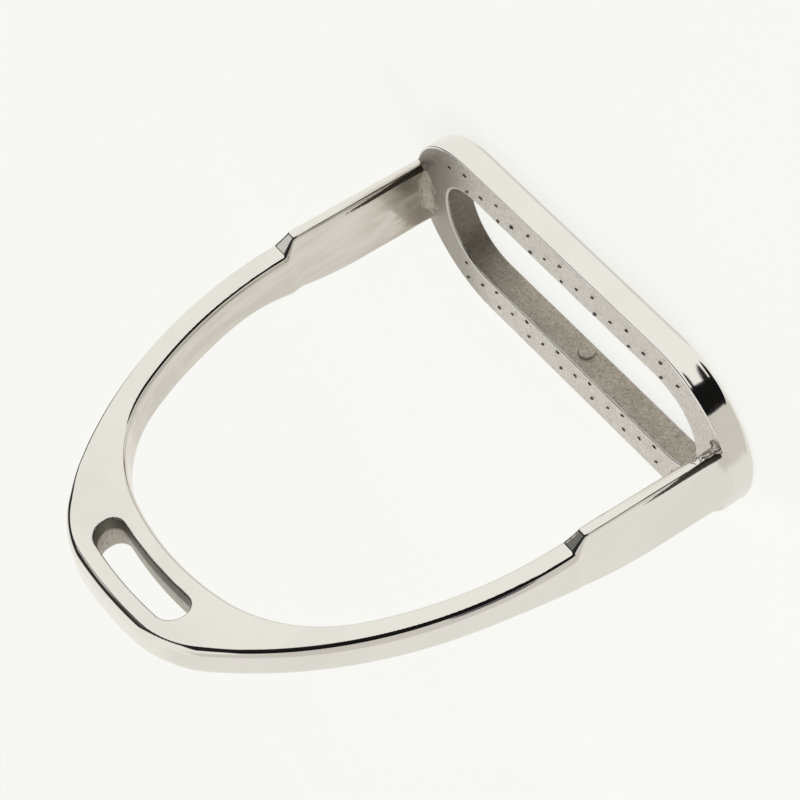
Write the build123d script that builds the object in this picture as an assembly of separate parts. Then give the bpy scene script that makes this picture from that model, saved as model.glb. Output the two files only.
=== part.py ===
"""Stirrup iron: a cast bow with an eye for the leather, an oblong open tread and its grip pips.

Millimetres, +Z up from the tread to the eye, X along the tread, the front face toward -Y.
The origin is the middle of the tread's underside. Every piece is written to parts/NODE.step.
"""
from build123d import *
import math
import os

# tread: an oblong ring with round ends and an oblong opening
TREAD_HALF_LENGTH = 61.9
TREAD_HALF_DEPTH = 25.4
TREAD_THICK = 7.5
OPENING_HALF_LENGTH = 49.0
OPENING_HALF_DEPTH = 14.2
TREAD_BOTTOM_ROUND = 2.0
TREAD_TOP_ROUND = 0.5
OPENING_RIM_ROUND = 0.5

# small round stub left on the rear rail, inside the opening
STUB_X = 0.8
STUB_Z = 2.8
STUB_RADIUS = 2.4
STUB_PROUD = 0.9

# grip pips: three lanes on each rail, the middle lane half a pitch off the others
PIP_PITCH = 12.7
PIP_RADIUS = 0.45
PIP_HEIGHT = 1.0
LANE_INNER = 15.6
LANE_MIDDLE = 18.4
LANE_OUTER = 21.2
FRONT_LANE_COUNTS = (7, 8, 7)
REAR_LANE_COUNTS = (8, 7, 8)

# blades: the flat legs that stand on the tread's ends
BLADE_INNER_X = 56.9
BLADE_OUTER_X = 60.0
BLADE_FRONT_Y = -11.2
BLADE_REAR_Y = 8.2
ROOT_FRONT_Y = -9.9
ROOT_REAR_Y = 9.6
BLADE_TOP_Z = 45.2

# shoulders: where each leg changes from blade to arch
SHOULDER_Z = 49.4
REAR_FLARE_Z = 55.5
REAR_BLADE_Z = 41.5

# arch: seen from the front, drawn with arcs that meet at a tangent
ARCH_FRONT_Y = -8.2
ARCH_REAR_Y = 2.6
CROWN_REAR_Y = 1.4
ARCH_OUTER_X = 61.3
OUTER_RADIUS = 110.0
OUTER_SPRING_Z = 50.0
CROWN_TOP_Z = 136.5
CROWN_TOP_RADIUS = 130.0
CROWN_CORNER = 5.0
ARCH_INNER_X = 55.2
INNER_SPRING_Z = 50.0
LEG_RADIUS = 100.9
LEG_TURN = 27.0
HAUNCH_RADIUS = 38.9
CROWN_INNER_Z = 118.2

# eye: the slot that the stirrup leather passes through
EYE_CENTRE_Z = 126.8
EYE_LENGTH = 34.8
EYE_HEIGHT = 8.7
EYE_CORNER = 4.0

# beads that join bow and tread
WELD_LEG = 2.8
WELD_FRONT_Y = -8.4
WELD_REAR_Y = 8.4
WELD_SAG = 0.55


def arc_point(centre, radius, degrees):
    """Point on a circle in the front view, measured from the X axis."""
    angle = math.radians(degrees)
    return (centre[0] + radius * math.cos(angle), centre[1] + radius * math.sin(angle))


def inner_half():
    """Right half of the arch's inner curve, from the shoulder up to the crown."""
    leg_centre = (ARCH_INNER_X - LEG_RADIUS, INNER_SPRING_Z)
    haunch_start = arc_point(leg_centre, LEG_RADIUS, LEG_TURN)
    haunch_centre = arc_point(leg_centre, LEG_RADIUS - HAUNCH_RADIUS, LEG_TURN)
    # the crown's circle is centred on X = 0 and touches the haunch circle from outside
    drop = CROWN_INNER_Z - haunch_centre[1]
    span = haunch_centre[0] ** 2 + drop ** 2 - HAUNCH_RADIUS ** 2
    crown_radius = span / (2 * (drop - HAUNCH_RADIUS))
    crown_centre = (0.0, CROWN_INNER_Z - crown_radius)
    meet = math.degrees(math.atan2(haunch_centre[1] - crown_centre[1], haunch_centre[0]))
    haunch_end = arc_point(haunch_centre, HAUNCH_RADIUS, meet)
    leg_middle = arc_point(leg_centre, LEG_RADIUS, LEG_TURN / 2)
    haunch_middle = arc_point(haunch_centre, HAUNCH_RADIUS, (LEG_TURN + meet) / 2)
    crown_middle = arc_point(crown_centre, crown_radius, (meet + 90) / 2)
    leg = ThreePointArc((ARCH_INNER_X, INNER_SPRING_Z), leg_middle, haunch_start)
    haunch = ThreePointArc(haunch_start, haunch_middle, haunch_end)
    crown = ThreePointArc(haunch_end, crown_middle, (0.0, CROWN_INNER_Z))
    return [leg, haunch, crown]


def outer_half():
    """Right half of the arch's outer curve, from the shoulder up to the crown's top."""
    centre = (ARCH_OUTER_X - OUTER_RADIUS, OUTER_SPRING_Z)
    top_centre_z = CROWN_TOP_Z - CROWN_TOP_RADIUS
    # where the side's circle and the top's circle cross
    gap = math.hypot(centre[0], centre[1] - top_centre_z)
    along = (OUTER_RADIUS ** 2 - CROWN_TOP_RADIUS ** 2 + gap ** 2) / (2 * gap)
    across = math.sqrt(OUTER_RADIUS ** 2 - along ** 2)
    unit = (-centre[0] / gap, (top_centre_z - centre[1]) / gap)
    corner_x = centre[0] + along * unit[0] - across * unit[1]
    corner = (corner_x, centre[1] + along * unit[1] + across * unit[0])
    turn = math.degrees(math.atan2(corner[1] - centre[1], corner[0] - centre[0]))
    side = ThreePointArc((ARCH_OUTER_X, OUTER_SPRING_Z), arc_point(centre, OUTER_RADIUS, turn / 2), corner)
    top_turn = math.degrees(math.atan2(corner[1] - top_centre_z, corner[0]))
    top_middle = arc_point((0.0, top_centre_z), CROWN_TOP_RADIUS, (top_turn + 90) / 2)
    top = ThreePointArc(corner, top_middle, (0.0, CROWN_TOP_Z))
    return [side, top]


def front_outline():
    """The bow seen from the front, as a face on the XY plane (Y stands for height)."""
    foot = [
        Line((ARCH_INNER_X, INNER_SPRING_Z), (BLADE_INNER_X, BLADE_TOP_Z)),
        Line((BLADE_INNER_X, BLADE_TOP_Z), (BLADE_INNER_X, TREAD_THICK)),
        Line((BLADE_INNER_X, TREAD_THICK), (BLADE_OUTER_X, TREAD_THICK)),
        Line((BLADE_OUTER_X, TREAD_THICK), (BLADE_OUTER_X, BLADE_TOP_Z)),
        Line((BLADE_OUTER_X, BLADE_TOP_Z), (ARCH_OUTER_X, OUTER_SPRING_Z)),
    ]
    half = inner_half() + foot + outer_half()
    mirrored = [edge.mirror(Plane.YZ) for edge in half]
    outline = make_face(half + mirrored)
    corners = outline.vertices().filter_by(lambda v: v.Y > EYE_CENTRE_Z and abs(v.X) > 1.0)
    return fillet(corners, CROWN_CORNER)


def side_outline():
    """The bow seen from the side, as points (Y, Z): thin arch, flared shoulders, deep blades."""
    return [
        (ARCH_FRONT_Y, CROWN_TOP_Z + 1.0),
        (ARCH_FRONT_Y, SHOULDER_Z),
        (BLADE_FRONT_Y, BLADE_TOP_Z),
        (ROOT_FRONT_Y, TREAD_THICK),
        (ROOT_REAR_Y, TREAD_THICK),
        (BLADE_REAR_Y, REAR_BLADE_Z),
        (ARCH_REAR_Y, REAR_FLARE_Z),
        (CROWN_REAR_Y, CROWN_TOP_Z + 1.0),
    ]


def bow():
    """Eye, arch, shoulders and both blades in one casting."""
    span = 2 * TREAD_HALF_LENGTH
    front = Plane.XZ * front_outline()
    body = extrude(front, amount=span / 2, both=True)
    side = make_face(Polyline(*side_outline(), close=True))
    body = body & extrude(Plane.YZ * side, amount=span, both=True)
    eye = RectangleRounded(EYE_LENGTH, EYE_HEIGHT, EYE_CORNER)
    eye_cut = extrude(Plane.XZ * Pos(0, EYE_CENTRE_Z) * eye, amount=span, both=True)
    return body - eye_cut


def tread():
    """Oblong ring with a rounded bottom edge and the small stub inside its rear rail."""
    outline = SlotOverall(2 * TREAD_HALF_LENGTH, 2 * TREAD_HALF_DEPTH)
    opening = SlotOverall(2 * OPENING_HALF_LENGTH, 2 * OPENING_HALF_DEPTH)
    ring = extrude(outline - opening, amount=TREAD_THICK)
    bottom = ring.faces().sort_by(Axis.Z)[0]
    ring = fillet(bottom.outer_wire().edges(), TREAD_BOTTOM_ROUND)
    top = ring.faces().sort_by(Axis.Z)[-1]
    ring = fillet(top.outer_wire().edges(), TREAD_TOP_ROUND)
    top = ring.faces().sort_by(Axis.Z)[-1]
    ring = fillet(top.inner_wires()[0].edges(), OPENING_RIM_ROUND)
    stub_plane = Plane(origin=(STUB_X, OPENING_HALF_DEPTH + 1.0, STUB_Z), z_dir=(0, -1, 0))
    stub = extrude(stub_plane * Circle(STUB_RADIUS), amount=STUB_PROUD + 1.0)
    return ring + stub


def weld(side):
    """Bead in the inside corner between a blade and the tread; side is +1 or -1."""
    corner = (BLADE_INNER_X, TREAD_THICK)
    foot = (BLADE_INNER_X - WELD_LEG, TREAD_THICK)
    head = (BLADE_INNER_X, TREAD_THICK + WELD_LEG)
    sag = (BLADE_INNER_X - WELD_SAG - WELD_LEG / 2, TREAD_THICK + WELD_SAG + WELD_LEG / 2)
    section = make_face([Line(corner, foot), ThreePointArc(foot, sag, head), Line(head, corner)])
    start = Plane(origin=(0, WELD_REAR_Y, 0), x_dir=(1, 0, 0), z_dir=(0, -1, 0))
    bead = extrude(start * section, amount=WELD_REAR_Y - WELD_FRONT_Y)
    return bead if side > 0 else bead.mirror(Plane.YZ)


def grip_pips(side, counts):
    """All the pips on one rail, as separate short pins; side is -1 for the front rail."""
    pins = []
    for y, count in zip((LANE_INNER, LANE_MIDDLE, LANE_OUTER), counts):
        first = -PIP_PITCH * (count - 1) / 2
        for i in range(count):
            spot = Pos(first + PIP_PITCH * i, side * y, TREAD_THICK)
            pins.append(spot * extrude(Circle(PIP_RADIUS), amount=PIP_HEIGHT))
    return Compound(children=pins)


PARTS = {
    "bow": bow(),
    "tread": tread(),
    "weld_left": weld(-1),
    "weld_right": weld(1),
    "grip_pips_front": grip_pips(-1, FRONT_LANE_COUNTS),
    "grip_pips_rear": grip_pips(1, REAR_LANE_COUNTS),
}

os.makedirs("parts", exist_ok=True)
for name, shape in PARTS.items():
    export_step(shape, f"parts/{name}.step")
    box = shape.bounding_box()
    print(name, round(shape.volume, 1), [round(v, 2) for v in (*box.min, *box.max)], shape.is_valid)
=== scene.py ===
import math

import bpy
import numpy as np
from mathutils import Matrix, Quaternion, Vector


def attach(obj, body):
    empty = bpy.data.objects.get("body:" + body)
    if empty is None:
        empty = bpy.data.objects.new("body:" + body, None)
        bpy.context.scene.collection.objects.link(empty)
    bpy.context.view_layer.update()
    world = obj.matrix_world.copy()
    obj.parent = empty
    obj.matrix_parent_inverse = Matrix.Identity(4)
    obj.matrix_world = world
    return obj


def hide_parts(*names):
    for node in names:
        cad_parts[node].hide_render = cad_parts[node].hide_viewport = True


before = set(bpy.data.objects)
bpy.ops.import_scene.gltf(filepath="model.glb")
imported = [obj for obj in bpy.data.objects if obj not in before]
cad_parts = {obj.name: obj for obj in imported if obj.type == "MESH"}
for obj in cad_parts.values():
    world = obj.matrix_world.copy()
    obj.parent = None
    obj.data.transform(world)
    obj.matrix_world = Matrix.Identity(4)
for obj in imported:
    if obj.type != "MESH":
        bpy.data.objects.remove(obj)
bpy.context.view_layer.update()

MM = 0.001

# tread, in millimetres: an oblong ring with round ends
TREAD_HALF_LENGTH = 61.9
TREAD_HALF_DEPTH = 25.4
TREAD_THICK = 7.5
OPENING_HALF_LENGTH = 49.0
OPENING_HALF_DEPTH = 14.2
OPENING_SQUARENESS = 2.2
TREAD_BOTTOM_ROUND = 2.0
TREAD_TOP_ROUND = 0.3
TREAD_TOP_ROUND_AT_ROOT = 0.01
TREAD_WALL_CROWN = 0.17
OPENING_RIM_ROUND = 0.4
OPENING_FOOT_ROUND = 0.5
END_STATIONS = 72
RAIL_STATIONS = 100

# small round stub inside the rear rail
STUB_X = 0.8
STUB_Z = 2.8
STUB_RADIUS = 2.3
STUB_PROUD = 0.55
STUB_RIM_ROUND = 0.45
STUB_ROOT_DEPTH = 0.6
STUB_FLAT_RADIUS = 1.2

# pips that grip the rider's sole, in lanes along both rails
PIP_PITCH = 12.7
PIP_LEAN = 0.035
PIP_TIP_SHIFT = 0.16
LANES = (15.6, 18.4, 21.2)
FRONT_LANE_COUNTS = (7, 8, 7)
REAR_LANE_COUNTS = (8, 7, 8)

# bow: arch, shoulders and blades
BLADE_INNER_X = 56.9
BLADE_OUTER_X = 60.0
BLADE_FRONT_Y = -11.2
BLADE_REAR_Y = 8.2
ROOT_FRONT_Y = -9.9
ROOT_REAR_Y = 9.6
BLADE_TOP_Z = 45.2
SHOULDER_Z = 49.4
REAR_BLADE_Z = 41.5
REAR_FLARE_Z = 55.5
ARCH_FRONT_Y = -8.2
ARCH_REAR_Y = 2.6
CROWN_REAR_Y = 1.4
SPRING_Z = 50.0
ARCH_OUTER_X = 61.3
OUTER_RADIUS = 110.0
CROWN_TOP_Z = 136.5
CROWN_TOP_RADIUS = 130.0
CROWN_CORNER = 5.0
ARCH_INNER_X = 55.2
LEG_RADIUS = 100.9
LEG_TURN = math.radians(27.0)
HAUNCH_RADIUS = 38.9
CROWN_INNER_Z = 118.2
OUTER_EDGE_ROUND = 2.7
INNER_EDGE_ROUND = 2.0
FACE_CREASE = math.radians(27.0)
FACE_JOIN = 0.16
SEAM_GAP = 0.04

# how the outer edge radius changes over the arch, and the lean of its rear face
SHARP_FRONT_ROUND = 1.4
CROWN_FRONT_ROUND = 3.4
WIDE_REAR_ROUND = 3.5
SHARP_REAR_ROUND = 1.5
RIGHT_ROUND_START_X = 8.0
RIGHT_ROUND_RUN = 25.0
LEFT_ROUND_START_X = 2.0
LEFT_ROUND_RUN = 20.0
CROWN_ROUND_START_Z = 121.0
CROWN_ROUND_RUN = 10.0
ROUND_CHANGE_DEPTH = 1.6
REAR_LEAN = 0.015
LEAN_REACH_X = 50.0
LEAN_RISE = 25.0

# edges near the roots
SHOULDER_EDGE_ROUND = 0.8
ROOT_EDGE_ROUND = 1.5
FOOT_FLARE_HEIGHT = 4.5
FOOT_SINK = 1.2

# beads in the inside corners of both roots
WELD_LEG = 2.8
WELD_HALF_LENGTH = 8.4
WELD_STEP = 0.07
WELD_MIDDLE_Y = -0.6
WELD_FULL_HALF = 4.5
WELD_FADE = 3.8
WELD_FADE_DEPTH = 1.1
STRAY_BLEND = 0.8

# eye: the slot for the stirrup leather, which follows the crown's curve
EYE_CENTRE_X = -0.3
EYE_CENTRE_Z = 126.95
EYE_HALF_LENGTH = 17.1
EYE_HALF_HEIGHT = 4.15
EYE_CORNER = 3.9
EYE_CURVE_RADIUS = 115.0
EYE_RIDGE = 0.4
EYE_RIDGE_Y = -4.9
EYE_RIM_ROUND = 0.55

BOW_VOXEL = 0.4
WELD_VOXEL = 0.22

# camera: a long lens that looks down at the front left corner, rolled onto its side; its place, aim, roll
# and lens come from a least-squares fit of the object's edges and pips
CAMERA_PLACE = (-483.85, -648.24, 288.78)
CAMERA_AIM = (3.5, -5.38, 52.58)
CAMERA_ROLL = math.radians(-121.94)
CAMERA_LENS = 163.9


# ---------------------------------------------------------------- shape helpers

def ease(t):
    """Smooth step from 0 to 1."""
    t = np.clip(t, 0.0, 1.0)
    return t * t * (3.0 - 2.0 * t)


def round_max(a, b, radius):
    """Two distances joined as an intersection whose edge has this radius."""
    rounded = np.hypot(np.maximum(a + radius, 0.0), np.maximum(b + radius, 0.0))
    return np.minimum(np.maximum(a, b), -radius) + rounded


def soft_min(a, b, blend):
    """Two distances joined as a union with a fillet about as wide as blend."""
    h = np.maximum(blend - np.abs(a - b), 0.0) / blend
    return np.minimum(a, b) - h * h * blend * 0.25


def soft_max(a, b, blend):
    """Two distances joined as an intersection with a softened edge."""
    return -soft_min(-a, -b, blend)


def beyond_line(y, z, start, end):
    """Distance from the line through two points of the side view, positive on its left."""
    along = np.array([end[0] - start[0], end[1] - start[1]])
    along = along / np.hypot(*along)
    return (z - start[1]) * along[0] - (y - start[0]) * along[1]


# ---------------------------------------------------------------- bow

def front_distance(y, z):
    """How far a point lies in front of the bow's front: arch, ramp and blade."""
    arch = ARCH_FRONT_Y - y
    ramp = beyond_line(y, z, (BLADE_FRONT_Y, BLADE_TOP_Z), (ARCH_FRONT_Y, SHOULDER_Z))
    blade = beyond_line(y, z, (ROOT_FRONT_Y, TREAD_THICK), (BLADE_FRONT_Y, BLADE_TOP_Z))
    return soft_min(arch, soft_max(ramp, blade, 0.5), 0.15)


def rear_distance(y, z):
    """How far a point lies behind the bow's back: arch, concave flare and blade."""
    arch = beyond_line(y, z, (CROWN_REAR_Y, CROWN_TOP_Z), (ARCH_REAR_Y, REAR_FLARE_Z))
    flare = beyond_line(y, z, (ARCH_REAR_Y, REAR_FLARE_Z), (BLADE_REAR_Y, REAR_BLADE_Z))
    blade = beyond_line(y, z, (BLADE_REAR_Y, REAR_BLADE_Z), (ROOT_REAR_Y, TREAD_THICK))
    return soft_max(blade, soft_min(flare, arch, 5.0), 4.0)


def tread_end_x(y):
    """How far the tread's round end reaches at this depth."""
    centre = TREAD_HALF_LENGTH - TREAD_HALF_DEPTH
    return centre + np.sqrt(np.maximum(TREAD_HALF_DEPTH ** 2 - y * y, 0.0))


def outer_distance(x, y, z):
    """How far a point lies outside the bow's outer wall and crown."""
    across = np.abs(x)
    arc = np.hypot(across - (ARCH_OUTER_X - OUTER_RADIUS), z - SPRING_Z) - OUTER_RADIUS
    neck = ease((SPRING_Z - z) / (SPRING_Z - BLADE_TOP_Z))
    foot = ease(1.0 - (z - TREAD_THICK) / FOOT_FLARE_HEIGHT)
    wall = ARCH_OUTER_X - (ARCH_OUTER_X - BLADE_OUTER_X) * neck
    end = tread_end_x(y)
    wall = wall + np.maximum(end - BLADE_OUTER_X, 0.0) * foot
    wall = np.where(z < TREAD_THICK, np.minimum(wall, end) - SEAM_GAP, wall)
    side = np.where(z > SPRING_Z, arc, across - wall)
    top = np.hypot(x, z - (CROWN_TOP_Z - CROWN_TOP_RADIUS)) - CROWN_TOP_RADIUS
    return round_max(side, top, CROWN_CORNER)


def inner_distance(x, z):
    """How far a point lies inside the foot space: leg, haunch and crown arcs joined smoothly."""
    across = np.abs(x)
    leg_x = ARCH_INNER_X - LEG_RADIUS
    reach = LEG_RADIUS - HAUNCH_RADIUS
    haunch_x = leg_x + reach * math.cos(LEG_TURN)
    haunch_z = SPRING_Z + reach * math.sin(LEG_TURN)
    drop = CROWN_INNER_Z - haunch_z
    crown_radius = (haunch_x ** 2 + drop ** 2 - HAUNCH_RADIUS ** 2) / (2 * (drop - HAUNCH_RADIUS))
    crown_z = CROWN_INNER_Z - crown_radius
    meet = math.atan2(haunch_z - crown_z, haunch_x)
    leg = np.hypot(across - leg_x, z - SPRING_Z) - LEG_RADIUS
    haunch = np.hypot(across - haunch_x, z - haunch_z) - HAUNCH_RADIUS
    crown = np.hypot(across, z - crown_z) - crown_radius
    turn = np.arctan2(z - haunch_z, across - haunch_x)
    arch = np.where(turn < LEG_TURN, leg, np.where(turn < meet, haunch, crown))
    neck = ease((SPRING_Z - z) / (SPRING_Z - BLADE_TOP_Z))
    wall = ARCH_INNER_X + (BLADE_INNER_X - ARCH_INNER_X) * neck
    return -np.where(z > SPRING_Z, arch, across - wall)


def eye_distance(x, y, z):
    """How far a point lies inside the eye, whose walls rise to a ridge at mid thickness."""
    along = x - EYE_CENTRE_X
    height = z + along * along / (2 * EYE_CURVE_RADIUS) - EYE_CENTRE_Z
    before = (y - ARCH_FRONT_Y) / (EYE_RIDGE_Y - ARCH_FRONT_Y)
    behind = (CROWN_REAR_Y - y) / (CROWN_REAR_Y - EYE_RIDGE_Y)
    ridge = EYE_RIDGE * np.clip(np.minimum(before, behind), 0.0, 1.0)
    a = np.abs(along) - EYE_HALF_LENGTH + EYE_CORNER + ridge
    b = np.abs(height) - EYE_HALF_HEIGHT + EYE_CORNER + ridge
    corner = np.hypot(np.maximum(a, 0.0), np.maximum(b, 0.0))
    return -(corner + np.minimum(np.maximum(a, b), 0.0) - EYE_CORNER)


def arch_outer_round(x, y, z):
    """Radius of the arch's outer edges, which differs between sides, faces and the crown."""
    right = ease((x - RIGHT_ROUND_START_X) / RIGHT_ROUND_RUN)
    left = ease((-x - LEFT_ROUND_START_X) / LEFT_ROUND_RUN)
    top = ease((z - CROWN_ROUND_START_Z) / CROWN_ROUND_RUN)
    front = OUTER_EDGE_ROUND + (SHARP_FRONT_ROUND - OUTER_EDGE_ROUND) * right * (1.0 - top)
    front = front + (CROWN_FRONT_ROUND - OUTER_EDGE_ROUND) * top
    rear = OUTER_EDGE_ROUND + (WIDE_REAR_ROUND - OUTER_EDGE_ROUND) * left
    rear = rear + (SHARP_REAR_ROUND - OUTER_EDGE_ROUND) * np.maximum(right, top * (1.0 - left))
    middle = (ARCH_FRONT_Y + CROWN_REAR_Y) / 2
    return front + (rear - front) * ease((y - middle + ROUND_CHANGE_DEPTH / 2) / ROUND_CHANGE_DEPTH)


def bow_distance(x, y, z):
    """Signed distance to the whole bow, negative inside the metal."""
    lean = REAR_LEAN * np.clip(x, -LEAN_REACH_X, LEAN_REACH_X) * ease((z - REAR_FLARE_Z) / LEAN_RISE)
    slab = np.maximum(front_distance(y, z), rear_distance(y - lean, z))
    thick = ease((z - BLADE_TOP_Z) / (SHOULDER_Z - BLADE_TOP_Z))
    rise = np.clip(z / BLADE_TOP_Z, 0.0, 1.0)
    blade_round = ROOT_EDGE_ROUND + (SHOULDER_EDGE_ROUND - ROOT_EDGE_ROUND) * rise
    outer_round = blade_round + (arch_outer_round(x, y, z) - blade_round) * thick
    inner_round = blade_round + (INNER_EDGE_ROUND - blade_round) * thick
    # each round edge meets its flat face at a slight crease
    ground = 1.0 - math.cos(FACE_CREASE)
    outside = round_max(slab - outer_round * ground, outer_distance(x, y, z), outer_round)
    inside = round_max(slab - inner_round * ground, inner_distance(x, z), inner_round)
    body = soft_max(slab, np.maximum(outside, inside), FACE_JOIN)
    body = round_max(body, eye_distance(x, y, z), EYE_RIM_ROUND)
    return np.maximum(body, TREAD_THICK - FOOT_SINK - z)


def raw(x, y, z):
    """1 on the eye's unpolished walls and 0 elsewhere."""
    return ease((eye_distance(x, y, z) + 0.30) / 0.25)


def inward(x, y, z):
    """1 on the walls that face the foot space."""
    return ease((inner_distance(x, z) + 0.9) / 0.8)


def rough_shaded_strip(x, y, z):
    """1 in the strip along each blade's front edge, which widens towards the root: a rough, pitted strip
    whose dark colour is painted shade.
    """
    rise = np.clip((38.0 - z) / 30.0, 0.0, 1.0)
    outer = np.where(x < 0, np.hypot(x + BLADE_OUTER_X - 0.3, y + 9.2), 9.0) / (0.15 + 0.75 * rise)
    inner = np.where(x > 0, np.hypot(x - BLADE_INNER_X, y + 8.9), 9.0) / (0.15 + 0.75 * rise)
    return ease(1.7 - np.minimum(outer, inner)) * ease(2.0 * rise) * ease(2.0 * (z - TREAD_THICK - 0.3))


# ---------------------------------------------------------------- surface from a distance

def surface_net(distance, low, high, step):
    """Quads around every grid edge that crosses the surface, and one point per crossed cell."""
    axes = [np.arange(a, b, step) for a, b in zip(low, high)]
    field = distance(axes[0][:, None, None], axes[1][None, :, None], axes[2][None, None, :])
    inside = field < 0.0
    corners = [(i, j, k) for i in (0, 1) for j in (0, 1) for k in (0, 1)]
    shape = [n - 1 for n in inside.shape]
    count = np.zeros(shape, np.int8)
    for i, j, k in corners:
        count += inside[i:i + shape[0], j:j + shape[1], k:k + shape[2]]
    mixed = (count > 0) & (count < 8)
    cells = np.argwhere(mixed)
    index = np.full(mixed.shape, -1)
    index[mixed] = np.arange(len(cells))
    total = np.zeros((len(cells), 3))
    hits = np.zeros(len(cells))
    for axis in range(3):
        for start in (c for c in corners if c[axis] == 0):
            unit = np.eye(3, dtype=int)[axis]
            a = field[tuple((cells + start).T)]
            b = field[tuple((cells + start + unit).T)]
            crossed = (a < 0.0) != (b < 0.0)
            part = np.where(crossed, a / np.where(crossed, a - b, 1.0), 0.0)
            total += crossed[:, None] * (np.array(start) + part[:, None] * unit)
            hits += crossed
    points = np.array(low) + step * (cells + total / hits[:, None])
    quads = []
    for axis in range(3):
        unit, u, v = np.eye(3, dtype=int)[[axis, (axis + 1) % 3, (axis + 2) % 3]]
        here = inside[tuple(slice(0, -1) for _ in range(3))]
        there = inside[tuple(slice(d, None if d else -1) for d in unit)]
        edges = np.argwhere(here != there)
        edges = edges[np.all(edges - u - v >= 0, axis=1)]
        ring = [index[tuple((edges - d).T)] for d in (u + v, v, 0 * u, u)]
        ring = np.stack(ring, axis=1)
        outward = here[tuple(edges.T)]
        quads.append(np.where(outward[:, None], ring, ring[:, ::-1]))
    return points, np.concatenate(quads)


def slope(distance, points, reach):
    """Gradient of a distance at each point, from central differences."""
    parts = []
    for unit in np.eye(3) * reach:
        parts.append(distance(*(points + unit).T) - distance(*(points - unit).T))
    return np.stack(parts, axis=1) / (2 * reach)


def settle(distance, points):
    """Points moved onto the surface."""
    for _ in range(3):
        gradient = slope(distance, points, 0.01)
        size = np.maximum((gradient ** 2).sum(axis=1), 0.05)
        points = points - gradient * (distance(*points.T) / size)[:, None]
    return points


def relax(distance, points, quads, rounds):
    """Points spread evenly over the surface."""
    links = np.concatenate([quads[:, [i, (i + 1) % 4]] for i in range(4)])
    links = np.concatenate([links, links[:, ::-1]])
    degree = np.bincount(links[:, 0], minlength=len(points))[:, None]
    for _ in range(rounds):
        sums = [np.bincount(links[:, 0], points[links[:, 1], i], len(points)) for i in range(3)]
        total = np.stack(sums, axis=1)
        points = settle(distance, points + 0.5 * (total / degree - points))
    return points


def mesh_object(name, points, faces, normals=None):
    """Smooth mesh from points in millimetres."""
    mesh = bpy.data.meshes.new(name)
    mesh.from_pydata((np.asarray(points) * MM).tolist(), [], [list(f) for f in faces])
    mesh.shade_smooth()
    if normals is not None:
        mesh.normals_split_custom_set_from_vertices(np.asarray(normals).tolist())
    piece = bpy.data.objects.new(name, mesh)
    bpy.context.scene.collection.objects.link(piece)
    return piece


def add_mark(piece, name, values):
    """Stores one number per point for a material to read."""
    mark = piece.data.attributes.new(name, "FLOAT", "POINT")
    mark.data.foreach_set("value", np.asarray(values).astype(np.float32))


def solid_from(name, distance, low, high, step, rounds=3, marks=()):
    """Smooth object from a signed distance, with marks worked out from its points."""
    points, quads = surface_net(distance, low, high, step)
    points = relax(distance, settle(distance, points), quads, rounds)
    normals = slope(distance, points, 0.08)
    normals /= np.linalg.norm(normals, axis=1)[:, None]
    piece = mesh_object(name, points, quads.tolist(), normals)
    for mark in marks:
        add_mark(piece, mark.__name__, mark(*points.T))
    return piece


# ---------------------------------------------------------------- tread

def stations():
    """Steps around the ring: the outline's angle, and the place along the rails from -1 to 1."""
    steps = []
    for end in (0.0, math.pi):
        for i in range(END_STATIONS):
            steps.append((end - math.pi / 2 + math.pi * i / END_STATIONS, 1.0 if end == 0.0 else -1.0))
        for i in range(RAIL_STATIONS):
            place = 1.0 - 2.0 * i / RAIL_STATIONS
            steps.append((end + math.pi / 2, place if end == 0.0 else -place))
    return np.array(steps)


def ring_outline(half_length, half_depth, squareness):
    """Points and outward directions of one outline of the ring."""
    angle, place = stations().T
    power = 2.0 / squareness
    c = np.cos(angle)
    s = np.sin(angle)
    run = half_length - half_depth
    x = run * place + half_depth * np.sign(c) * np.abs(c) ** power
    x = np.where(np.abs(c) < 1e-9, run * place, x)
    y = half_depth * np.sign(s) * np.abs(s) ** power
    points = np.stack([x, y], axis=1)
    ahead = np.roll(points, -1, axis=0) - np.roll(points, 1, axis=0)
    outward = np.stack([ahead[:, 1], -ahead[:, 0]], axis=1)
    return points, outward / np.linalg.norm(outward, axis=1)[:, None]


def wobble(points, size):
    """Slow uneven ripple over a cast face, between about -1 and 1."""
    x = points[:, 0] / size
    y = points[:, 1] / size
    return 0.5 * np.sin(1.7 * x + 2.3 * np.sin(0.9 * y)) + 0.5 * np.sin(1.3 * y + 1.9 * np.sin(1.1 * x + 0.7))


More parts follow.
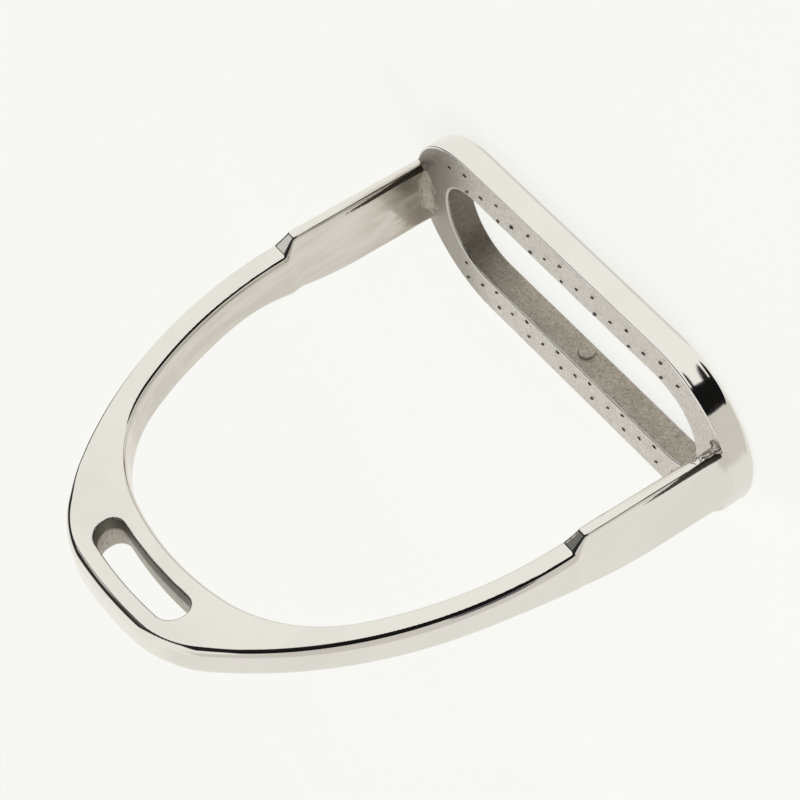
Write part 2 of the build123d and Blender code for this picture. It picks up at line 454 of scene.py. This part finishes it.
def tread_rings():
    """Rings of points from the underside, round the outside, over the top and down the opening."""
    outer, outward = ring_outline(TREAD_HALF_LENGTH, TREAD_HALF_DEPTH, 2.0)
    inner, away = ring_outline(OPENING_HALF_LENGTH, OPENING_HALF_DEPTH, OPENING_SQUARENESS)
    root = ease((np.abs(outer[:, 0]) - 59.6) / 0.8)
    top_round = TREAD_TOP_ROUND + (TREAD_TOP_ROUND_AT_ROOT - TREAD_TOP_ROUND) * root
    rim_round = OPENING_RIM_ROUND + 0.12 * wobble(inner, 3.0)
    rings = []

    def ring(flat, height, direction, rise, polish):
        points = np.column_stack([flat, np.broadcast_to(height, len(flat))])
        normal = np.column_stack([direction * math.cos(rise), np.full(len(flat), math.sin(rise))])
        rings.append((points, normal, np.full(len(flat), polish)))

    def fillet(edge, direction, sense, radius, height, first, last, count, polish):
        for i in range(count + 1):
            turn = first + (last - first) * i / count
            inset = radius * (1.0 - math.cos(turn))
            lift = height + radius * math.sin(turn)
            ring(edge - sense * direction * np.reshape(inset, (-1, 1)), lift, sense * direction, turn, polish)

    def face(start, end, height, rise, count, polish, rough):
        for i in range(1, count):
            flat = start + (end - start) * i / count
            bump = rough * wobble(flat, 1.6) * math.sin(math.pi * i / count)
            ring(flat, height + bump, 0 * flat, rise, polish)

    quarter = math.pi / 2
    bottom_outer = outer - outward * TREAD_BOTTOM_ROUND
    bottom_inner = inner + away * OPENING_FOOT_ROUND
    top_outer = outer - outward * top_round[:, None]
    top_inner = inner + away * rim_round[:, None]
    face(bottom_inner, bottom_outer, 0.0, -quarter, 12, 0.35, 0.0)
    low_round = np.full(len(outer), TREAD_BOTTOM_ROUND)
    fillet(outer, outward, 1.0, low_round, TREAD_BOTTOM_ROUND, -quarter, 0.0, 8, 1.0)
    wall_top = TREAD_THICK - top_round
    for i in range(1, 9):
        share = 2.0 * i / 9 - 1.0
        lift = TREAD_BOTTOM_ROUND + (wall_top - TREAD_BOTTOM_ROUND) * i / 9
        inset = TREAD_WALL_CROWN * share * share
        tilt = math.atan(4.0 * TREAD_WALL_CROWN * share / (TREAD_THICK - TREAD_BOTTOM_ROUND))
        ring(outer - outward * inset, lift, outward, tilt, 1.0)
    fillet(outer, outward, 1.0, top_round, wall_top, 0.0, quarter, 5, 1.0)
    face(top_outer, top_inner, TREAD_THICK, quarter, 18, 0.0, 0.03)
    fillet(inner, away, -1.0, rim_round, TREAD_THICK - rim_round, quarter, 0.0, 6, 0.55)
    for i in range(1, 9):
        lift = TREAD_THICK - rim_round + (OPENING_FOOT_ROUND - TREAD_THICK + rim_round) * i / 9
        ring(inner, lift, -away, 0.0, 0.0)
    foot_round = np.full(len(inner), OPENING_FOOT_ROUND)
    fillet(inner, away, -1.0, foot_round, OPENING_FOOT_ROUND, 0.0, -quarter, 3, 0.2)
    return rings


def tread_object():
    """The ring as one closed mesh, with a mark for how polished each part is."""
    rings = tread_rings()
    count = len(rings[0][0])
    points = np.concatenate([r[0] for r in rings])
    normals = np.concatenate([r[1] for r in rings])
    polish = np.concatenate([r[2] for r in rings])
    faces = []
    for r in range(len(rings)):
        a = r * count
        b = (r + 1) % len(rings) * count
        for i in range(count):
            j = (i + 1) % count
            faces.append((a + i, a + j, b + j, b + i))
    stub_points, stub_faces, stub_normals = stub()
    faces += [tuple(len(points) + i for i in f) for f in stub_faces]
    points = np.concatenate([points, stub_points])
    normals = np.concatenate([normals, stub_normals])
    polish = np.concatenate([polish, np.full(len(stub_points), 0.3)])
    piece = mesh_object("tread_ring", points, faces, normals)
    add_mark(piece, "polish", polish)
    return piece


def stub():
    """Low round button on the rear rail's inner wall."""
    sides = 40
    profile = [(STUB_RADIUS, -STUB_ROOT_DEPTH, 0.0), (STUB_RADIUS, STUB_PROUD - STUB_RIM_ROUND, 0.0)]
    for i in range(1, 6):
        turn = math.pi / 2 * i / 5
        radius = STUB_RADIUS - STUB_RIM_ROUND * (1 - math.cos(turn))
        profile.append((radius, STUB_PROUD - STUB_RIM_ROUND * (1 - math.sin(turn)), turn))
    profile.append((STUB_FLAT_RADIUS, STUB_PROUD + 0.02, math.pi / 2))
    points = []
    normals = []
    for radius, proud, turn in profile:
        for i in range(sides):
            angle = 2 * math.pi * i / sides
            lump = 1.0 + 0.02 * math.sin(3 * angle + 0.6)
            x = STUB_X + radius * lump * math.cos(angle)
            z = STUB_Z + radius * lump * math.sin(angle)
            points.append((x, OPENING_HALF_DEPTH - proud, z))
            flat = math.cos(turn)
            normals.append((flat * math.cos(angle), -math.sin(turn), flat * math.sin(angle)))
    faces = []
    for r in range(len(profile) - 1):
        for i in range(sides):
            j = (i + 1) % sides
            faces.append((r * sides + i, r * sides + j, (r + 1) * sides + j, (r + 1) * sides + i))
    last = (len(profile) - 1) * sides
    faces.append(tuple(last + i for i in range(sides)))
    faces.append(tuple(reversed(range(sides))))
    return np.array(points), faces, np.array(normals)


# ---------------------------------------------------------------- welds and pips

def fillet_weld(x, y, z):
    """Signed distance of the concave bead in the inside corner of either root."""
    across = np.abs(x)
    ripple = 0.015 * np.sin(4.4 * y + 0.8 * np.sin(1.7 * z)) + 0.07 * np.sin(1.3 * y + 1.1)
    thinning = WELD_FADE_DEPTH * ease((np.abs(y - WELD_MIDDLE_Y) - WELD_FULL_HALF) / WELD_FADE)
    reach = np.hypot(across - BLADE_INNER_X + WELD_LEG, z - TREAD_THICK - WELD_LEG)
    hollow = WELD_LEG - WELD_STEP + ripple + thinning - reach
    corner = soft_max(BLADE_INNER_X - WELD_LEG - across, z - TREAD_THICK - WELD_LEG, 0.3)
    buried = np.maximum(across - BLADE_INNER_X - 0.7, TREAD_THICK - 0.3 - z)
    ends = np.abs(y) - WELD_HALF_LENGTH
    return soft_max(np.maximum(soft_max(hollow, corner, 0.3), buried), ends, 0.8)


def stray_lumps():
    """Centres and radii of the stray metal round the left blade's front edge and a little way up it."""
    rng = np.random.default_rng(11)
    lumps = []
    for i in range(8):
        x = -BLADE_INNER_X + 0.4 - 2.4 * i / 7
        y = -9.35 + rng.uniform(-0.2, 0.2)
        z = TREAD_THICK + rng.uniform(-0.1, 0.35)
        lumps.append((x, y, z, rng.uniform(0.6, 0.8)))
    for i in range(16):
        z = TREAD_THICK + 0.5 * i
        size = (0.72 - 0.03 * i) * rng.uniform(0.85, 1.15)
        y = ROOT_FRONT_Y - 0.035 * (z - TREAD_THICK) + 0.72 * size
        lumps.append((-58.3 + rng.uniform(-0.7, 0.7), y, z, size))
    return lumps


STRAY_LUMPS = stray_lumps()


def left_weld(x, y, z):
    """Signed distance of the left bead with its stray metal."""
    total = fillet_weld(x, y, z)
    for cx, cy, cz, radius in STRAY_LUMPS:
        ball = np.sqrt((x - cx) ** 2 + (y - cy) ** 2 + (z - cz) ** 2) - radius
        total = soft_min(total, ball, STRAY_BLEND)
    return np.maximum(total, TREAD_THICK - 0.25 - z)


def weld_objects():
    """Both beads."""
    floor = TREAD_THICK - 0.8
    left_low = (-60.4, -11.2, floor)
    left_high = (-53.6, 9.6, 16.5)
    left = solid_from("weld_bead_left", left_weld, left_low, left_high, WELD_VOXEL, 2)
    right_low = (53.6, -9.4, floor)
    right_high = (58.2, 9.6, 11.2)
    right = solid_from("weld_bead_right", fillet_weld, right_low, right_high, WELD_VOXEL, 2)
    return left, right


def pip(points, faces, x, y, rng):
    """One low raised pip, longer than it is wide and leaning a little."""
    sides = 14
    base = len(points)
    turn = rng.uniform(-0.5, 0.5)
    long = rng.uniform(0.5, 0.68)
    wide = rng.uniform(0.32, 0.42)
    high = rng.uniform(0.4, 0.72)
    for level in range(5):
        rise = math.pi / 2 * level / 5
        for i in range(sides):
            angle = 2 * math.pi * i / sides
            u = long * math.cos(rise) * math.cos(angle) - PIP_LEAN * level
            v = wide * math.cos(rise) * math.sin(angle)
            px = x + u * math.cos(turn) - v * math.sin(turn)
            py = y + u * math.sin(turn) + v * math.cos(turn)
            points.append((px, py, TREAD_THICK - 0.05 + high * math.sin(rise)))
    top = len(points)
    points.append((x - PIP_TIP_SHIFT, y, TREAD_THICK - 0.05 + high))
    for level in range(4):
        for i in range(sides):
            a = base + level * sides + i
            b = base + level * sides + (i + 1) % sides
            faces.append((a, b, b + sides, a + sides))
    last = base + 4 * sides
    for i in range(sides):
        faces.append((last + i, last + (i + 1) % sides, top))
    faces.append(tuple(base + i for i in reversed(range(sides))))


def pips_object(name, side, counts):
    """All the pips of one rail."""
    rng = np.random.default_rng(7 if side < 0 else 19)
    points = []
    faces = []
    for lane, count in zip(LANES, counts):
        first = -PIP_PITCH * (count - 1) / 2
        for i in range(count):
            x = first + PIP_PITCH * i + rng.uniform(-0.4, 0.4)
            y = side * (lane + rng.uniform(-0.15, 0.15))
            pip(points, faces, x, y, rng)
    return mesh_object(name, points, faces)


# ---------------------------------------------------------------- materials

class Nodes:
    """Short way to add and join nodes of one node tree."""

    def __init__(self, tree):
        self.tree = tree

    def add(self, kind, inputs=None, **settings):
        node = self.tree.nodes.new(kind)
        for key, value in settings.items():
            setattr(node, key, value)
        for key, value in (inputs or {}).items():
            if isinstance(value, bpy.types.NodeSocket):
                self.tree.links.new(value, node.inputs[key])
            else:
                node.inputs[key].default_value = value
        return node

    def maths(self, operation, a, b=0.0):
        return self.add("ShaderNodeMath", {0: a, 1: b}, operation=operation).outputs[0]

    def noise(self, place, scale, detail=4.0, rough=0.5):
        return self.add("ShaderNodeTexNoise", {"Vector": place, "Scale": scale, "Detail": detail,
                                               "Roughness": rough}).outputs["Fac"]

    def span(self, value, low, high, to_low=0.0, to_high=1.0):
        return self.add("ShaderNodeMapRange", {0: value, 1: low, 2: high, 3: to_low, 4: to_high},
                        interpolation_type="SMOOTHSTEP").outputs[0]

    def mix(self, share, a, b):
        node = self.add("ShaderNodeMix", {0: share}, data_type="RGBA")
        for key, value in ((6, a), (7, b)):
            if isinstance(value, bpy.types.NodeSocket):
                self.tree.links.new(value, node.inputs[key])
            else:
                node.inputs[key].default_value = (*value, 1.0)
        return node.outputs[2]

    def bump(self, height, distance, normal=None):
        inputs = {"Height": height, "Distance": distance, "Strength": 1.0}
        if normal is not None:
            inputs["Normal"] = normal
        return self.add("ShaderNodeBump", inputs).outputs[0]

    def stretched(self, place, scale):
        return self.add("ShaderNodeMapping", {"Vector": place, "Scale": scale}).outputs[0]


def new_material(name):
    """Empty node material: its Nodes helper, object coordinates and shader."""
    material = bpy.data.materials.new(name)
    material.use_nodes = True
    tree = material.node_tree
    tree.nodes.clear()
    nodes = Nodes(tree)
    shader = nodes.add("ShaderNodeBsdfPrincipled")
    output = nodes.add("ShaderNodeOutputMaterial")
    tree.links.new(shader.outputs[0], output.inputs[0])
    place = nodes.add("ShaderNodeTexCoord").outputs["Object"]
    return material, nodes, place, shader


def connect(nodes, shader, **sockets):
    """Joins outputs to the shader's sockets, named with underscores for spaces."""
    for key, value in sockets.items():
        nodes.tree.links.new(value, shader.inputs[key.replace("_", " ")])


def polish_bump(nodes, place, under):
    """Slow waves with fine straight scratches over them."""
    wave = nodes.noise(place, 70.0, 2.0)
    normal = nodes.bump(wave, 0.00005, under)
    fine = nodes.noise(nodes.stretched(place, (900.0, 7000.0, 500.0)), 1.0, 3.0)
    return nodes.bump(fine, 0.0000012, normal)


def polished_steel():
    """Mirror-polished stainless steel: smudges, faint scratches, raw eye walls with painted shade on their
    front half, and a rough strip at the blade roots darkened with painted shade.
    """
    material, nodes, place, shader = new_material("polished_steel")
    smudge = nodes.span(nodes.noise(place, 45.0, 5.0, 0.6), 0.42, 0.72)
    grease = nodes.span(nodes.noise(place, 210.0, 3.0), 0.55, 0.75)
    grain = nodes.noise(place, 1400.0, 4.0, 0.65)
    parts = nodes.add("ShaderNodeSeparateXYZ", {0: place}).outputs
    clean = nodes.mix(smudge, (0.88, 0.87, 0.84), (0.84, 0.83, 0.80))

    # the walls inside the arch are a little darker, with long streaks
    inner = nodes.add("ShaderNodeAttribute", attribute_name="inward").outputs["Fac"]
    drawn = nodes.span(nodes.noise(nodes.stretched(place, (260.0, 330.0, 40.0)), 1.0, 4.0, 0.55), 0.3, 0.7)
    clean = nodes.mix(inner, clean, nodes.mix(drawn, (0.80, 0.775, 0.735), (0.70, 0.675, 0.63)))

    # brownish streaks on the inner faces near the roots
    near_root = nodes.span(parts[2], 0.036, 0.010)
    inside = nodes.span(nodes.maths("ABSOLUTE", parts[0]), 0.0588, 0.0574)
    streaks = nodes.noise(nodes.stretched(place, (120.0, 170.0, 45.0)), 1.0, 5.0, 0.6)
    streaked = nodes.maths("MULTIPLY", near_root, nodes.span(streaks, 0.36, 0.62))
    dull = nodes.maths("MULTIPLY", streaked, inside)
    colour = nodes.mix(nodes.maths("MULTIPLY", dull, 0.75), clean, (0.44, 0.38, 0.31))

    # rough, pitted strip beside the welds, darkened with painted shade
    strip_shade_and_rough = nodes.add("ShaderNodeAttribute", attribute_name="rough_shaded_strip").outputs["Fac"]
    ragged = nodes.maths("ADD", strip_shade_and_rough, nodes.maths("MULTIPLY", nodes.maths("SUBTRACT", grain, 0.5), 0.8))
    strip_shade_and_rough = nodes.span(ragged, 0.25, 0.85)
    colour = nodes.mix(strip_shade_and_rough, colour, (0.06, 0.054, 0.044))

    # unpolished walls of the eye; their front half is darker as painted shade
    walls = nodes.add("ShaderNodeAttribute", attribute_name="raw").outputs["Fac"]
    half = nodes.span(parts[1], -0.0054, -0.0044)
    wall_colour = nodes.mix(half, (0.24, 0.232, 0.205), (0.52, 0.505, 0.455))
    wall_colour = nodes.mix(nodes.span(grain, 0.5, 0.75), wall_colour, (0.17, 0.16, 0.135))
    colour = nodes.mix(walls, colour, wall_colour)

    rough = nodes.maths("ADD", 0.055, nodes.maths("MULTIPLY", smudge, 0.05))
    rough = nodes.maths("ADD", rough, nodes.maths("MULTIPLY", grease, 0.03))
    rough = nodes.maths("ADD", rough, nodes.maths("MULTIPLY", dull, 0.22))
    rough = nodes.maths("ADD", rough, nodes.maths("MULTIPLY", nodes.maths("MAXIMUM", walls, strip_shade_and_rough), 0.4))
    pitted = nodes.bump(nodes.maths("MULTIPLY", grain, nodes.maths("MAXIMUM", walls, strip_shade_and_rough)), 0.00012)
    shader.inputs["Metallic"].default_value = 1.0
    connect(nodes, shader, Base_Color=colour, Roughness=rough, Normal=polish_bump(nodes, place, pitted))
    return material


def cast_steel():
    """Tread: polished outside, matte cast top and a rough brownish wall inside the opening, both darkened
    towards the right end with painted shade.
    """
    material, nodes, place, shader = new_material("cast_steel")
    polish = nodes.add("ShaderNodeAttribute", attribute_name="polish").outputs["Fac"]
    parts = nodes.add("ShaderNodeSeparateXYZ", {0: place}).outputs
    grain = nodes.noise(place, 1500.0, 5.0, 0.7)
    blotch = nodes.noise(place, 260.0, 5.0, 0.6)
    speck = nodes.span(nodes.noise(place, 1150.0, 4.0, 0.65), 0.56, 0.70)
    below_top = nodes.span(parts[2], 0.0072, 0.0066)

    top = nodes.mix(nodes.span(grain, 0.36, 0.64), (0.64, 0.62, 0.585), (0.86, 0.845, 0.81))
    top = nodes.mix(nodes.span(blotch, 0.45, 0.7, 0.0, 0.35), top, (0.62, 0.60, 0.56))
    top = nodes.mix(nodes.maths("MULTIPLY", speck, 0.45), top, (0.26, 0.25, 0.225))
    # painted shade: the right end of the tread's top is darkened, by place on the object
    painted_shade_right_end = nodes.span(parts[0], 0.030, 0.050, 0.0, 0.6)
    top = nodes.mix(painted_shade_right_end, top, (0.235, 0.215, 0.175))

    wall = nodes.mix(nodes.span(grain, 0.35, 0.65), (0.40, 0.365, 0.315), (0.70, 0.655, 0.585))
    wall = nodes.mix(nodes.span(blotch, 0.4, 0.7, 0.0, 0.4), wall, (0.36, 0.35, 0.30))
    wall = nodes.mix(nodes.maths("MULTIPLY", speck, 0.5), wall, (0.12, 0.105, 0.085))
    # painted shade: the wall inside the opening is darkened towards the right end as well
    wall = nodes.mix(nodes.span(parts[0], 0.022, 0.048, 0.0, 0.65), wall, (0.14, 0.137, 0.115))
    cast = nodes.mix(below_top, top, wall)

    sheen = nodes.span(nodes.noise(place, 60.0), 0.4, 0.7)
    bright = nodes.mix(sheen, (0.90, 0.89, 0.865), (0.87, 0.86, 0.83))
    shine = nodes.span(polish, 0.25, 0.9)
    colour = nodes.mix(shine, cast, bright)
    matte = nodes.span(grain, 0.3, 0.7, 0.42, 0.6)
    gloss = nodes.span(blotch, 0.4, 0.75, 0.055, 0.10)
    rough = nodes.add("ShaderNodeMix", {0: shine, 2: matte, 3: gloss}).outputs[0]
    depth = nodes.span(polish, 0.1, 0.9, 1.0, 0.0)
    pitted = nodes.bump(nodes.maths("MULTIPLY", grain, depth), 0.00013)
    lumpy = nodes.bump(nodes.maths("MULTIPLY", blotch, depth), 0.0003, pitted)
    wave = nodes.bump(nodes.noise(place, 70.0, 2.0), 0.00004, lumpy)
    shader.inputs["Metallic"].default_value = 1.0
    connect(nodes, shader, Base_Color=colour, Roughness=rough, Normal=wave)
    return material


def weld_metal():
    """Uneven bead: light grey metal with dark pits and brownish tints; the right bead is darker with painted
    shade.
    """
    material, nodes, place, shader = new_material("weld_metal")
    patch = nodes.span(nodes.noise(place, 500.0, 5.0, 0.65), 0.35, 0.65)
    pit = nodes.span(nodes.noise(place, 1500.0, 3.0, 0.6), 0.56, 0.68)
    tint = nodes.span(nodes.noise(place, 240.0, 3.0), 0.5, 0.7)
    colour = nodes.mix(patch, (0.60, 0.58, 0.545), (0.80, 0.785, 0.745))
    colour = nodes.mix(nodes.maths("MULTIPLY", tint, 0.35), colour, (0.42, 0.36, 0.28))
    # painted shade: the bead on the right side is darkened, by place on the object
    across = nodes.add("ShaderNodeSeparateXYZ", {0: place}).outputs[0]
    colour = nodes.mix(nodes.span(across, -0.001, 0.001, 0.0, 0.8), colour, (0.36, 0.33, 0.285))
    colour = nodes.mix(nodes.maths("MULTIPLY", pit, 0.6), colour, (0.11, 0.10, 0.08))
    rough = nodes.span(patch, 0.0, 1.0, 0.45, 0.28)
    normal = nodes.bump(nodes.noise(place, 800.0, 4.0, 0.6), 0.00006)
    shader.inputs["Metallic"].default_value = 1.0
    connect(nodes, shader, Base_Color=colour, Roughness=rough, Normal=normal)
    return material


def pip_steel():
    """Pips: a painted highlight on top and painted shade around the foot."""
    material, nodes, place, shader = new_material("pip_steel")
    parts = nodes.add("ShaderNodeSeparateXYZ", {0: place}).outputs
    # painted light: bright top as painted highlight, dark foot as painted shade, by height
    pip_highlight_and_shade = nodes.span(parts[2], 0.00765, 0.00795)
    grain = nodes.noise(place, 2400.0, 3.0)
    bright = nodes.mix(grain, (0.72, 0.71, 0.68), (0.85, 0.84, 0.81))
    colour = nodes.mix(pip_highlight_and_shade, (0.06, 0.055, 0.048), bright)
    rough = nodes.span(grain, 0.3, 0.7, 0.22, 0.4)
    shader.inputs["Metallic"].default_value = 1.0
    connect(nodes, shader, Base_Color=colour, Roughness=rough, Normal=nodes.bump(grain, 0.00006))
    return material


def floor_material():
    """Pale, mostly self-lit floor that keeps only a faint shadow."""
    material, nodes, place, shader = new_material("pale_floor")
    tone = nodes.noise(place, 6.0, 3.0)
    colour = nodes.mix(tone, (0.17, 0.17, 0.165), (0.19, 0.19, 0.185))
    shader.inputs["Roughness"].default_value = 0.9
    shader.inputs["Specular IOR Level"].default_value = 0.0
    shader.inputs["Emission Color"].default_value = (0.985, 0.99, 0.955, 1.0)
    shader.inputs["Emission Strength"].default_value = 0.82
    connect(nodes, shader, Base_Color=colour)
    return material


# ---------------------------------------------------------------- studio

# Patches of the surroundings, which are not plain: they are placed for the product shot's angle, where
# the polished metal reflects them as dark lines. Other angles reflect them elsewhere on the bow.
# azimuth, elevation, half width, half height (degrees), softness (share), colour
PATCHES = [
    (127.0, 0.0, 55.0, 70.0, 0.40, (0.82, 0.805, 0.76)),
    (-20.0, -52.0, 30.0, 14.0, 0.50, (0.70, 0.69, 0.66)),
    (-178.0, 0.0, 34.0, 75.0, 0.60, (0.64, 0.62, 0.57)),
    (-158.0, 0.0, 9.0, 9.0, 0.30, (0.13, 0.12, 0.14)),
    (-118.0, -47.0, 25.0, 22.0, 0.30, (0.015, 0.015, 0.015)),
    (-108.0, 33.0, 24.0, 22.0, 0.30, (0.015, 0.015, 0.015)),
    (-112.0, 2.0, 20.0, 14.0, 0.25, (0.008, 0.008, 0.008)),
    (-132.0, -8.0, 17.0, 56.0, 0.12, (0.008, 0.008, 0.008)),
    (-37.5, 36.5, 7.5, 6.0, 0.50, (0.62, 0.61, 0.58)),
    (-46.5, 42.0, 6.0, 5.0, 0.50, (0.17, 0.17, 0.16)),
]
STUDIO_WHITE = (0.90, 0.885, 0.84)
STUDIO_STRENGTH = 1.0

# dark band over the bright panel that the front faces reflect
PANEL_AZIMUTH = math.radians(-53.2)
PANEL_ELEVATION = math.radians(-15.8)
BAND_INNER = math.radians(39.0)
BAND_OUTER = math.radians(80.0)
BAND_SOFT = math.radians(2.5)
BAND_COLOUR = (0.03, 0.03, 0.03)


def patch_share(nodes, azimuth, elevation, centre, height, half_width, half_height, soft):
    """1 inside one oblong patch of the surroundings and 0 outside."""
    turn = nodes.maths("SUBTRACT", azimuth, math.radians(centre))
    turn = nodes.add("ShaderNodeMath", {0: turn, 1: math.pi, 2: -math.pi}, operation="WRAP").outputs[0]
    lift = nodes.maths("SUBTRACT", elevation, math.radians(height))
    sides = []
    for value, half in ((turn, half_width), (lift, half_height)):
        share = nodes.maths("ABSOLUTE", nodes.maths("DIVIDE", value, math.radians(half)))
        sides.append(nodes.maths("POWER", share, 3.0))
    return nodes.span(nodes.maths("ADD", *sides), 1.0 + soft, 1.0 - soft)


def band_share(nodes, way, z):
    """1 in the band around the bright panel, above its lower edge."""
    flat = math.cos(PANEL_ELEVATION)
    centre = (flat * math.cos(PANEL_AZIMUTH), flat * math.sin(PANEL_AZIMUTH), math.sin(PANEL_ELEVATION))
    dot = nodes.add("ShaderNodeVectorMath", {0: way, 1: centre}, operation="DOT_PRODUCT").outputs["Value"]
    away = nodes.maths("ARCCOSINE", dot)
    inner = nodes.span(away, BAND_INNER - BAND_SOFT, BAND_INNER + BAND_SOFT)
    outer = nodes.span(away, BAND_OUTER + BAND_SOFT, BAND_OUTER - BAND_SOFT)
    above = nodes.span(z, -0.10, 0.02)
    return nodes.maths("MULTIPLY", nodes.maths("MULTIPLY", inner, outer), above)


def studio():
    """White surroundings with darker patches and a dark band for the polished metal to reflect."""
    world = bpy.data.worlds.new("studio")
    world.use_nodes = True
    tree = world.node_tree
    tree.nodes.clear()
    nodes = Nodes(tree)
    way = nodes.add("ShaderNodeTexCoord").outputs["Generated"]
    x, y, z = nodes.add("ShaderNodeSeparateXYZ", {0: way}).outputs
    azimuth = nodes.maths("ARCTAN2", y, x)
    elevation = nodes.maths("ARCSINE", z)
    colour = nodes.mix(band_share(nodes, way, z), STUDIO_WHITE, BAND_COLOUR)
    for *spot, tint in PATCHES:
        colour = nodes.mix(patch_share(nodes, azimuth, elevation, *spot), colour, tint)
    shader = nodes.add("ShaderNodeBackground", {"Color": colour, "Strength": STUDIO_STRENGTH})
    output = nodes.add("ShaderNodeOutputWorld")
    tree.links.new(shader.outputs[0], output.inputs[0])
    bpy.context.scene.world = world


def lay_floor():
    """Plain floor under the tread, unseen in the polished metal."""
    half = 6000.0
    corners = [(-half, -half, 0.0), (half, -half, 0.0), (half, half, 0.0), (-half, half, 0.0)]
    floor = mesh_object("floor", corners, [(0, 1, 2, 3)])
    floor.location.z = -0.00002
    floor.data.materials.append(floor_material())
    floor.visible_glossy = False


def soft_light():
    """One large soft light above the left, for shape on the matte parts."""
    lamp = bpy.data.lights.new("soft_box", "AREA")
    lamp.shape = "DISK"
    lamp.size = 1.2
    lamp.energy = 6.0
    holder = bpy.data.objects.new("soft_box", lamp)
    holder.location = (-0.9, 0.5, 1.4)
    holder.rotation_mode = "QUATERNION"
    holder.rotation_quaternion = (-holder.location).to_track_quat("-Z", "Y")
    holder.visible_glossy = False
    bpy.context.scene.collection.objects.link(holder)


def camera():
    """Long lens at the product shot's angle."""
    data = bpy.data.cameras.new("camera")
    data.lens = CAMERA_LENS
    data.sensor_width = 36.0
    holder = bpy.data.objects.new("camera", data)
    place = Vector(CAMERA_PLACE) * MM
    aim = Vector(CAMERA_AIM) * MM
    holder.location = place
    holder.rotation_mode = "QUATERNION"
    level = (aim - place).to_track_quat("-Z", "Y")
    holder.rotation_quaternion = level @ Quaternion((0.0, 0.0, 1.0), CAMERA_ROLL)
    bpy.context.scene.collection.objects.link(holder)
    bpy.context.scene.camera = holder


# ---------------------------------------------------------------- assembly

def place_piece(piece, node, material):
    """Gives a finished piece its material, hangs it under the root body and hides the CAD node that it stands
    for.
    """
    piece.data.materials.append(material)
    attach(piece, "root")
    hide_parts(node)


low = (-62.6, -12.2, TREAD_THICK - FOOT_SINK - 0.8)
high = (62.6, 10.8, CROWN_TOP_Z + 1.2)
bow = solid_from("bow_casting", bow_distance, low, high, BOW_VOXEL, 3, (raw, inward, rough_shaded_strip))
weld = weld_metal()
pips = pip_steel()
place_piece(bow, "bow", polished_steel())
place_piece(tread_object(), "tread", cast_steel())
weld_bead_left, weld_bead_right = weld_objects()
place_piece(weld_bead_left, "weld_left", weld)
place_piece(weld_bead_right, "weld_right", weld)
place_piece(pips_object("pips_front", -1, FRONT_LANE_COUNTS), "grip_pips_front", pips)
place_piece(pips_object("pips_rear", 1, REAR_LANE_COUNTS), "grip_pips_rear", pips)

lay_floor()
studio()
soft_light()
camera()
bpy.context.scene.view_settings.view_transform = "Standard"
